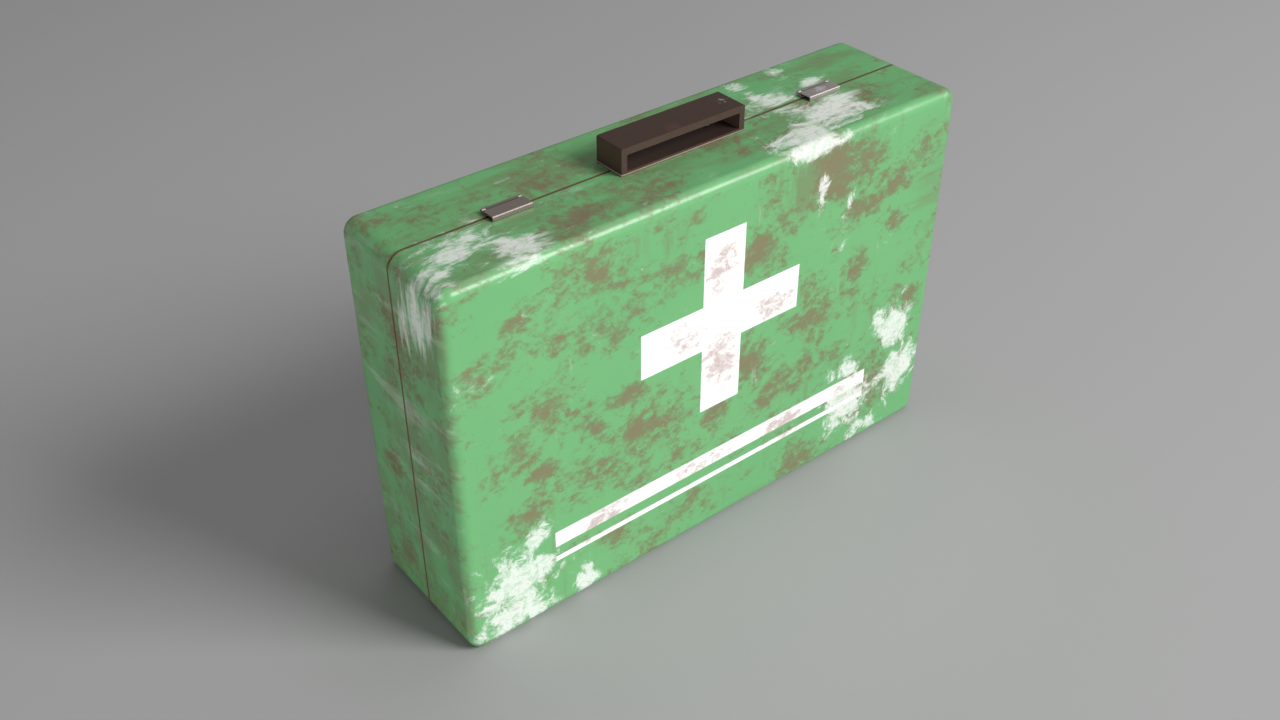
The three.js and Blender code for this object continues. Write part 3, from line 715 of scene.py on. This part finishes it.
def bevel(bm, offset, segments=3, angle=30):
    """Rounds the edges sharper than angle."""
    bmesh.ops.bevel(
        bm,
        geom=sharper_than(bm, angle),
        offset=offset,
        offset_type="OFFSET",
        segments=segments,
        profile=0.5,
        affect="EDGES",
        clamp_overlap=True,
    )


def rounded_block(name, low, high, radius, key, body, replaces=(), segments=3):
    bm = bmesh.new()
    block(bm, low, high)
    bevel(bm, radius, segments)
    return new_piece(name, bm, (key,), body, replaces)


def apply_boolean(piece, cutter_bm, operation="DIFFERENCE"):
    """Cuts or joins another closed shape, and leaves the result in the piece's mesh."""
    mesh = bpy.data.meshes.new("cutter")
    cutter_bm.to_mesh(mesh)
    cutter_bm.free()
    cutter = bpy.data.objects.new("cutter", mesh)
    bpy.context.collection.objects.link(cutter)
    modifier = piece.modifiers.new("cut", "BOOLEAN")
    modifier.operation = operation
    modifier.solver = "EXACT"
    modifier.object = cutter
    bake(piece)
    bpy.data.objects.remove(cutter)
    bpy.data.meshes.remove(mesh)


def bake(piece):
    """Applies a piece's modifiers to its mesh."""
    graph = bpy.context.evaluated_depsgraph_get()
    graph.update()
    evaluated = piece.evaluated_get(graph)
    mesh = bpy.data.meshes.new_from_object(evaluated)
    piece.modifiers.clear()
    old = piece.data
    piece.data = mesh
    bpy.data.meshes.remove(old)


def extruded(bm, points, axis, start, end):
    """Adds a closed prism: points are (a, b) pairs in the plane across axis ('x', 'y' or 'z')."""

    def at(a, b, c):
        return {"x": (c, a, b), "y": (a, c, b), "z": (a, b, c)}[axis]

    near = [bm.verts.new(at(a, b, start)) for a, b in points]
    far = [bm.verts.new(at(a, b, end)) for a, b in points]
    count = len(points)
    bm.faces.new(near)
    bm.faces.new(list(reversed(far)))
    for i in range(count):
        j = (i + 1) % count
        bm.faces.new((near[i], far[i], far[j], near[j]))


def arc(cx, cz, radius, start, end, steps):
    """Points on an arc from start to end, in degrees."""
    turns = [math.radians(start + (end - start) * i / steps) for i in range(steps + 1)]
    return [(cx + radius * math.cos(t), cz + radius * math.sin(t)) for t in turns]


def rounded_outline(x0, x1, z0, z1, radius, steps=8):
    return (
        arc(x1 - radius, z0 + radius, radius, -90, 0, steps)
        + arc(x1 - radius, z1 - radius, radius, 0, 90, steps)
        + arc(x0 + radius, z1 - radius, radius, 90, 180, steps)
        + arc(x0 + radius, z0 + radius, radius, 180, 270, steps)
    )


def ring_strip(bm, outer, inner, y0, y1):
    """Adds a flat ring between two outlines with as many points each, from y0 to y1."""
    count = len(outer)
    loops = [
        [bm.verts.new((x, y, z)) for x, z in outline]
        for outline, y in ((outer, y0), (outer, y1), (inner, y1), (inner, y0))
    ]
    for a in range(4):
        b = (a + 1) % 4
        for i in range(count):
            j = (i + 1) % count
            bm.faces.new((loops[a][i], loops[a][j], loops[b][j], loops[b][i]))


def turned(bm, profile, centre, steps=40):
    """Adds a closed shape turned about Z. profile is (radius, height) pairs from the bottom to the top."""
    cx, cy, cz = centre
    turns = [2 * math.pi * i / steps for i in range(steps)]
    rings = []
    for radius, height in profile:
        if radius == 0:
            rings.append([(0.0, 0.0, height)])
        else:
            rings.append([(radius * math.cos(t), radius * math.sin(t), height) for t in turns])
    made = [[bm.verts.new((cx + x, cy + y, cz + z)) for x, y, z in ring] for ring in rings]
    for low, high in zip(made, made[1:]):
        for i in range(steps):
            j = (i + 1) % steps
            a, b = low[i % len(low)], low[j % len(low)]
            c, d = high[j % len(high)], high[i % len(high)]
            corners = []
            for vert in (a, b, c, d):
                if vert not in corners:
                    corners.append(vert)
            if len(corners) > 2:
                bm.faces.new(corners)


# ---------------------------------------------------------------------------------------------
# The case
# ---------------------------------------------------------------------------------------------


def bridge(bm, a, b):
    """Joins two closed loops of equal length with a band of faces."""
    for i in range(len(a)):
        j = (i + 1) % len(a)
        bm.faces.new((a[i], a[j], b[j], b[i]))


def rounded_case(bm):
    """The case's outer shape: an outline with round corners that narrows in a quarter circle towards
    the front and back faces."""
    loops = []
    for side in (-1, 1):
        for i in range(EDGE_STEPS + 1):
            turn = math.pi / 2 * (i if side < 0 else EDGE_STEPS - i) / EDGE_STEPS
            off = EDGE_R * (1 - math.sin(turn))
            face = LID_FACE if side < 0 else BACK_FACE
            y = face - side * EDGE_R * (1 - math.cos(turn))
            right = HALF_WIDTH - off
            outline = rounded_outline(-right, right, off, TOP - off, CORNER_R - off, EDGE_STEPS)
            loops.append([bm.verts.new((x, y, z)) for x, z in outline])
    for a, b in zip(loops, loops[1:]):
        bridge(bm, a, b)
    bm.faces.new(loops[0])
    bm.faces.new(list(reversed(loops[-1])))


def crisp(piece):
    """Keeps flat faces flat beside rounded edges, and sharp edges sharp."""
    piece.data.set_sharp_from_angle(angle=math.radians(SHARP_ANGLE))
    modifier = piece.modifiers.new("normals", "WEIGHTED_NORMAL")
    modifier.keep_sharp = True
    modifier.weight = 100


def shell_piece(name, body, node, keep_above):
    """One half of the case: the rounded case with the hinge channel cut in its base, split at the seam
    and given the thickness of its sheet. keep_above is true for the back half."""
    bm = bmesh.new()
    rounded_case(bm)
    piece = new_piece(name, bm, ("paint", "inside"), body, (node,), 50)

    cutter = bmesh.new()
    below = -5 * MM
    block(cutter, (-CHANNEL_END, SEAM - CHANNEL_HALF, below), (CHANNEL_END, SEAM + CHANNEL_HALF, CHANNEL_TOP))
    apply_boolean(piece, cutter)
    cutter = bmesh.new()
    reach = HALF_WIDTH * 1.2
    block(cutter, (-reach, SEAM - END_RELIEF_HALF, below), (reach, SEAM + END_RELIEF_HALF, CHANNEL_TOP))
    apply_boolean(piece, cutter)

    bm = bmesh.new()
    bm.from_mesh(piece.data)
    plane = BACK_EDGE if keep_above else LID_EDGE
    bmesh.ops.bisect_plane(
        bm,
        geom=[*bm.verts, *bm.edges, *bm.faces],
        plane_co=(0, plane, 0),
        plane_no=(0, 1, 0),
        clear_outer=not keep_above,
        clear_inner=keep_above,
    )
    bm.to_mesh(piece.data)
    bm.free()
    modifier = piece.modifiers.new("sheet", "SOLIDIFY")
    modifier.thickness = WALL
    modifier.offset = -1
    modifier.use_even_offset = True
    modifier.material_offset = 1
    modifier.material_offset_rim = 0
    bake(piece)
    crisp(piece)
    return piece


def rim_piece(name, body, y0, y1):
    """The stiffening flange that is turned inwards round the opening."""
    inside = HALF_WIDTH - WALL
    outer = rounded_outline(-inside, inside, CHANNEL_TOP + WALL, TOP - WALL, CORNER_R - WALL)
    inner = rounded_outline(
        -inside + RIM_WIDTH,
        inside - RIM_WIDTH,
        CHANNEL_TOP + WALL + RIM_WIDTH,
        TOP - WALL - RIM_WIDTH,
        6 * MM,
    )
    bm = bmesh.new()
    ring_strip(bm, outer, inner, y0, y1)
    bevel(bm, 0.3 * MM, 2, 60)
    return new_piece(name, bm, ("inside",), body)


def make_case():
    shell_piece("back_shell_paint", "case", "back_shell", True)
    shell_piece("front_shell_paint", "lid", "front_shell", False)
    rim_piece("back_rim", "case", 3 * MM, 3 * MM + WALL)
    rim_piece("front_rim", "lid", LID_EDGE - WALL, LID_EDGE - 0.02 * MM)


def make_seal():
    """A hollow-looking rubber strip with a raised lip along its middle."""
    low, high = node_box("rim_seal")
    bm = bmesh.new()
    width = 7 * MM
    steps = 8
    corner = CORNER_R - WALL

    def outline(inset):
        radius = max(corner - inset, 2 * MM)
        return rounded_outline(low.x + inset, high.x - inset, low.z + inset, high.z - inset, radius, steps)

    back, front = high.y, low.y
    lip = front + 0.1 * MM
    body = front + 1.0 * MM
    section = [(0, back), (0, body), (2.0 * MM, body), (2.8 * MM, lip), (4.2 * MM, lip), (5.0 * MM, body),
               (width, body), (width, back)]
    loops = [[bm.verts.new((x, y, z)) for x, z in outline(inset)] for inset, y in section]
    for a in range(len(loops)):
        b = (a + 1) % len(loops)
        for i in range(len(loops[a])):
            j = (i + 1) % len(loops[a])
            bm.faces.new((loops[a][i], loops[a][j], loops[b][j], loops[b][i]))
    new_piece("seal_strip", bm, ("rubber",), "case", ("rim_seal",))


# ---------------------------------------------------------------------------------------------
# Handle and latches
# ---------------------------------------------------------------------------------------------


def make_handle():
    low, high = node_box("handle_grip")
    bar, leg, base = 4.6 * MM, 4.1 * MM, 2 * MM
    bm = bmesh.new()
    outer = rounded_outline(low.x, high.x, low.z, high.z, 1.2 * MM, 4)
    inner = rounded_outline(low.x + leg, high.x - leg, low.z + base, high.z - bar, 0.8 * MM, 4)
    ring_strip(bm, outer, inner, low.y, high.y)
    bevel(bm, 0.55 * MM, 3, 60)
    new_piece("handle_ring", bm, ("handle",), "case", ("handle_grip",), 40)

    # A thin lip round the foot of the handle, coloured pale as a painted highlight along the handle's base
    # edge.
    bm = bmesh.new()
    lip = 0.5 * MM
    block(bm, (low.x - lip, low.y - lip, low.z - 0.05 * MM), (high.x + lip, high.y + lip, low.z + 0.75 * MM))
    bevel(bm, 0.25 * MM, 2)
    new_piece("handle_foot_painted_highlight", bm, ("handle_foot_painted_highlight",), "case")


def lever_piece(name, node, key, body):
    """A folded plate: a rolled barrel at the back, a flat cover and a turned-down front lip."""
    low, high = node_box(node)
    joint = next(j for j in frame["joints"] if j["child"] == body)
    pin = Vector(joint["pos_m"])
    bm = bmesh.new()
    plate = 0.9 * MM
    front = [
        (low.y, low.z - 0.35 * MM),
        (low.y + plate, low.z - 0.35 * MM),
        (low.y + plate, high.z - plate - 0.3 * MM),
        (low.y + plate + 0.3 * MM, high.z - plate),
        (pin.y - 1.85 * MM, high.z - plate),
        (pin.y - 1.85 * MM, high.z),
        (low.y + 0.5 * MM, high.z),
        (low.y, high.z - 0.5 * MM),
    ]
    extruded(bm, front, "x", low.x, high.x)
    bevel(bm, 0.2 * MM, 2, 40)
    neck_half = 10.7 * MM
    neck = [
        (pin.y - 2.3 * MM, high.z - plate),
        *arc(pin.y, pin.z, 0.72 * MM, 100, -170, 14),
        *reversed(arc(pin.y, pin.z, 1.25 * MM, 90, -170, 18)),
        (pin.y - 2.3 * MM, high.z),
    ]
    extruded(bm, neck, "x", pin.x - neck_half, pin.x + neck_half)
    new_piece(name, bm, (key,), body, (node,), 40)


def make_latches():
    for end, body in (("left", "left_latch"), ("right", "right_latch")):
        lever_piece(f"lever_{end}", f"latch_lever_{end}", f"latch_{end}", body)


# ---------------------------------------------------------------------------------------------
# Contents
# ---------------------------------------------------------------------------------------------


def make_bandage_roll(name, node):
    """A roll of gauze bandage: a spiral of cloth with a loose tail and slightly uneven turns."""
    low, high = node_box(node)
    middle = (low + high) / 2
    rng = random.Random(node)
    radius = (high.z - low.z) / 2 * 0.985
    turns, steps = 11, 40
    core = 3.2 * MM
    half = (high.x - low.x) / 2
    bm = bmesh.new()
    rings = []
    total = turns * steps
    for i in range(total + 1):
        t = i / total
        angle = 2 * math.pi * i / steps
        r = core + (radius - core) * t
        wobble = 0.5 * MM * math.sin(3 * angle + t * 9) * (0.2 + 0.3 * t) + rng.uniform(-0.04, 0.04) * MM
        side = rng.uniform(-0.35, 0.35) * MM
        y = middle.y + (r + wobble - 0.5 * MM) * math.cos(angle)
        z = middle.z + (r + wobble - 0.5 * MM) * math.sin(angle)
        rings.append([bm.verts.new((middle.x - half + 0.6 * MM + side, y, z)),
                      bm.verts.new((middle.x + half - 0.6 * MM + side, y, z))])
    for a, b in zip(rings, rings[1:]):
        bm.faces.new((a[0], a[1], b[1], b[0]))
    piece = new_piece(name, bm, ("bandage",), "case", (node,), 80)
    modifier = piece.modifiers.new("cloth", "SOLIDIFY")
    modifier.thickness = 0.9 * MM
    modifier.offset = -1
    bake(piece)


def swell(piece, low, high):
    """Blows the packet up as cloth held along its crimped ends, then fits its depth to its space."""
    held = [v.index for v in piece.data.vertices if min(v.co.z - low.z, high.z - v.co.z) < PACK_SEAL]
    piece.vertex_groups.new(name="held").add(held, 1.0, "ADD")
    cloth = piece.modifiers.new("swell", "CLOTH")
    cloth.settings.quality = 8
    cloth.settings.mass = 0.002
    cloth.settings.tension_stiffness = 12
    cloth.settings.compression_stiffness = 4
    cloth.settings.shear_stiffness = 3
    cloth.settings.bending_stiffness = 0.002
    cloth.settings.use_pressure = True
    cloth.settings.uniform_pressure_force = PACK_PRESSURE
    cloth.settings.effector_weights.gravity = 0
    cloth.settings.vertex_group_mass = "held"
    cloth.point_cache.frame_end = SWELL_FRAMES
    for number in range(1, SWELL_FRAMES + 1):
        bpy.context.scene.frame_set(number)
    bake(piece)
    bpy.context.scene.frame_set(1)
    piece.vertex_groups.clear()
    middle, depth = (low.y + high.y) / 2, (high.y - low.y) / 2
    most = max(abs(v.co.y - middle) for v in piece.data.vertices)
    for v in piece.data.vertices:
        v.co.x = min(max(v.co.x, low.x), high.x)
        v.co.y = middle + (v.co.y - middle) * 0.99 * depth / most
        v.co.z = min(max(v.co.z, low.z), high.z)


def pillow_pack(name, node, body, key, puff=0.8, seed=1):
    """A sealed packet: a puffed middle between two flat crimped ends along Z."""
    low, high = node_box(node)
    rng = random.Random(seed)
    nx, nz = 26, 26
    middle_y = (low.y + high.y) / 2
    depth = (high.y - low.y) / 2
    phases = [rng.uniform(0, 6.28) for _ in range(6)]
    bm = bmesh.new()

    def surface(side):
        grid = []
        for i in range(nx + 1):
            row = []
            for j in range(nz + 1):
                u, v = i / nx, j / nz
                x = low.x + (high.x - low.x) * u
                z = low.z + (high.z - low.z) * v
                from_end = min(z - low.z, high.z - z) - PACK_SEAL
                from_side = min(x - low.x, high.x - x)
                rise = max(0.0, min(1.0, from_end / (9 * MM))) ** 0.55
                rise *= max(0.0, min(1.0, from_side / (7 * MM))) ** 0.45
                ripple = 0.06 * math.sin(9 * u + phases[0]) * math.sin(7 * v + phases[1])
                ripple += 0.04 * math.sin(23 * u + 11 * v + phases[2])
                ripple += 0.03 * math.sin(31 * v - 13 * u + phases[3])
                crimp = 0.05 * math.sin(2 * math.pi * z / (1.4 * MM)) if from_end < 0 else 0
                reach = depth * (0.07 + crimp * 0.3 + (puff + ripple) * rise * 0.92)
                row.append(bm.verts.new((x, middle_y + side * min(reach, depth), z)))
            grid.append(row)
        return grid

    front, back = surface(-1), surface(1)
    for grid in (front, back):
        for i in range(nx):
            for j in range(nz):
                bm.faces.new((grid[i][j], grid[i + 1][j], grid[i + 1][j + 1], grid[i][j + 1]))
    border = [(i, 0) for i in range(nx)] + [(nx, j) for j in range(nz)]
    border += [(i, nz) for i in range(nx, 0, -1)] + [(0, j) for j in range(nz, 0, -1)]
    for (i, j), (k, m) in zip(border, border[1:] + border[:1]):
        bm.faces.new((front[i][j], front[k][m], back[k][m], back[i][j]))
    piece = new_piece(name, bm, (key,), body, (node,), 60)
    swell(piece, low, high)


def make_card_box():
    """A card box with a tuck flap on its end."""
    low, high = node_box("plaster_box")
    rounded_block("card_box", low, high, 0.7 * MM, "card", "case", ("plaster_box",))
    bm = bmesh.new()
    flap_low = (low.x + 3 * MM, low.y - 0.35 * MM, high.z - 16 * MM)
    block(bm, flap_low, (high.x - 3 * MM, low.y + 0.1 * MM, high.z - 0.8 * MM))
    bevel(bm, 0.15 * MM, 1)
    new_piece("card_box_flap", bm, ("card",), "case")


def make_tape_roll():
    """A reel of cloth tape round an open core."""
    low, high = node_box("tape_roll")
    middle = (low + high) / 2
    outer = (high.x - low.x) / 2
    half = (high.y - low.y) / 2
    bm = bmesh.new()
    steps = 64
    bands = 7
    core = 14 * MM
    radii = [core + (outer - core) * i / bands for i in range(bands + 1)]
    section = [(core, -half), (core, half)]
    for a, b in zip(radii, radii[1:]):
        sunk = 0.25 * MM * (1 if b < outer else 0.4)
        section += [(a + 0.2 * MM, half - 0.25 * MM), (b - 0.2 * MM, half - sunk)]
    section += [(outer, half - 0.6 * MM), (outer, -half + 0.6 * MM)]
    for a, b in zip(reversed(radii[:-1]), reversed(radii[1:])):
        section += [(b - 0.2 * MM, -half + 0.25 * MM), (a + 0.2 * MM, -half + 0.25 * MM)]
    loops = []
    for i in range(steps):
        t = 2 * math.pi * i / steps
        across = Vector((math.cos(t), 0, math.sin(t)))
        loops.append([bm.verts.new(middle + across * r + Vector((0, y, 0))) for r, y in section])
    for a, b in zip(loops, loops[1:] + loops[:1]):
        bridge(bm, a, b)
    new_piece("tape_reel", bm, ("tape",), "case", ("tape_roll",), 40)


def make_bottle():
    """A round bottle with a recessed band for a label and a domed shoulder."""
    low, high = node_box("antiseptic_bottle")
    middle = (low + high) / 2
    r = (high.x - low.x) / 2
    body = 70 * MM
    profile = [(0, 1.2 * MM), (r * 0.72, 0.9 * MM), (r * 0.80, 0)]
    profile += [(r - 2.4 * MM + 2.4 * MM * math.sin(t), 2.4 * MM - 2.4 * MM * math.cos(t))
                for t in (math.radians(a) for a in range(15, 91, 15))]
    profile += [(r, 14 * MM), (r - 0.35 * MM, 14.6 * MM), (r - 0.35 * MM, 51 * MM), (r, 51.6 * MM)]
    profile += [(9 * MM + (r - 9 * MM) * math.cos(t), 58 * MM + 11.5 * MM * math.sin(t))
                for t in (math.radians(a) for a in range(0, 91, 10))]
    neck, height = 7.4 * MM, high.z - low.z
    profile += [(7.6 * MM, body + 0.4 * MM), (neck, body + 1.5 * MM), (neck, height), (0, height)]
    bm = bmesh.new()
    turned(bm, profile, (middle.x, middle.y, low.z))
    new_piece("bottle_body", bm, ("bottle",), "case", ("antiseptic_bottle",), 40)


def make_bottle_cap():
    """A ribbed cap, open below."""
    low, high = node_box("bottle_cap")
    middle = (low + high) / 2
    ribs, steps = 36, 144
    height = high.z - low.z
    bm = bmesh.new()
    outer = (high.x - low.x) / 2

    def ring(radius, z, ribbed):
        points = []
        for i in range(steps):
            t = 2 * math.pi * i / steps
            depth = 0.35 * MM * (0.5 - 0.5 * math.cos(ribs * t)) if ribbed else 0
            across = radius - depth
            x, y = middle.x + across * math.cos(t), middle.y + across * math.sin(t)
            points.append(bm.verts.new((x, y, low.z + z)))
        return points

    bore = 7.75 * MM
    rows = [
        ring(bore, 14 * MM, False),
        ring(bore, 0, False),
        ring(outer, 0, False),
        ring(outer, 1.6 * MM, False),
        ring(outer - 0.1 * MM, 2.2 * MM, True),
        ring(outer - 0.5 * MM, height - 2 * MM, True),
        ring(outer - 0.7 * MM, height - 1 * MM, False),
        ring(outer - 1.7 * MM, height, False),
    ]
    for a, b in zip(rows, rows[1:]):
        bridge(bm, a, b)
    bm.faces.new(rows[-1])
    bm.faces.new(list(reversed(rows[0])))
    new_piece("cap_ribbed", bm, ("cap",), "cap", ("bottle_cap",), 40)


def make_tray():
    """The pressed tray: a rounded edge round the CAD tray's own pockets."""
    tray = frame["nodes"]["insert_tray"]
    bevel_modifier = tray.modifiers.new("rounded", "BEVEL")
    bevel_modifier.width = 0.7 * MM
    bevel_modifier.segments = 3
    bevel_modifier.limit_method = "ANGLE"
    bevel_modifier.angle_limit = math.radians(40)


def dress_node(node, key, width=0.0):
    """Gives a CAD node its material, and softens its edges."""
    piece = frame["nodes"][node]
    piece.data.materials.clear()
    piece.data.materials.append(MATERIALS[key])
    if width:
        modifier = piece.modifiers.new("softened", "BEVEL")
        modifier.width = width
        modifier.segments = 2
        modifier.limit_method = "ANGLE"
        modifier.angle_limit = math.radians(35)


def dress_cad_nodes():
    for node in frame["nodes"]:
        if node.startswith("hinge_"):
            dress_node(node, "steel", 0 if "pin" in node else 0.12 * MM)
        elif node.startswith(("handle_screw", "handle_nut", "handle_backing", "latch_pin", "latch_keeper")):
            dress_node(node, "steel", 0.15 * MM)
        elif node.startswith("latch_bracket"):
            dress_node(node, "latch_left" if node.endswith("left") else "latch_right", 0.15 * MM)
        elif node.startswith("scissor") or node == "tweezers":
            dress_node(node, "instrument", 0.2 * MM)
        elif node.startswith("lid_strap"):
            dress_node(node, "strap", 0.3 * MM)
    dress_node("insert_tray", "tray")


def make_contents():
    for i in (1, 2, 3):
        make_bandage_roll(f"rolled_bandage_{i}", f"bandage_roll_{i}")
    pillow_pack("gauze_sachet_a", "gauze_pack_a", "case", "wrap", seed=3)
    pillow_pack("gauze_sachet_b", "gauze_pack_b", "case", "wrap", seed=5)
    pillow_pack("bandage_sachet", "triangular_bandage", "lid", "wrap", seed=7)
    pillow_pack("foil_sachet", "foil_blanket", "lid", "foil", seed=11)
    pillow_pack("glove_sachet", "gloves_pack", "lid", "gloves", puff=0.9, seed=13)
    make_card_box()
    make_tape_roll()
    make_bottle()
    make_bottle_cap()
    make_tray()


# The handle foot's pale colour is a painted highlight along the base edge of the handle.
MATERIALS["handle_foot_painted_highlight"] = make_dark_metal("handle_foot_painted_highlight_metal", srgb(140, 118, 108), srgb(190, 165, 152))

make_camera()
make_stage()
make_lights()
make_case()
make_seal()
make_handle()
make_latches()
make_contents()
dress_cad_nodes()
